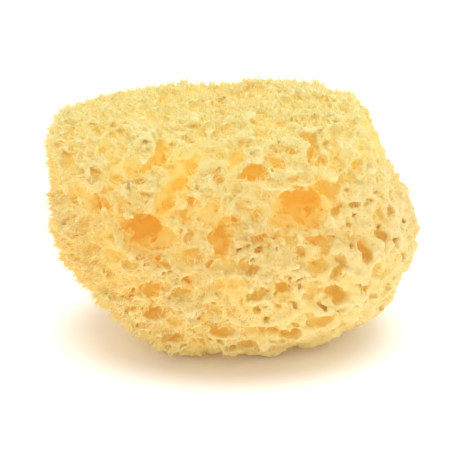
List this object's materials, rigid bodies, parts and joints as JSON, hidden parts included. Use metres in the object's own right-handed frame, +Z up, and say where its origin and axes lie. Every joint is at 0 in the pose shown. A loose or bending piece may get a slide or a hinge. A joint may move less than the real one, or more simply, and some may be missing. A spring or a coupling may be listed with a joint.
{
  "type": "sea sponge",
  "caption": "Natural honeycomb sea sponge for bathing: a soft rounded block, cut flat underneath, with open canals and deep mouths.",
  "frame": {"origin": "middle of the sponge's box in X and Y, on the surface it rests on", "axes": "+X along the longest side, to the right of the picture; -Y towards the viewer; +Z up from the flat cut underside"},
  "size_m": [0.1376, 0.1146, 0.0939],
  "materials": {
    "spongin": "matt, fibrous, pale gold at the tips and orange in the depths"
  },
  "bodies": {
    "root": {"sponge": "spongin"}
  },
  "joints": []
}
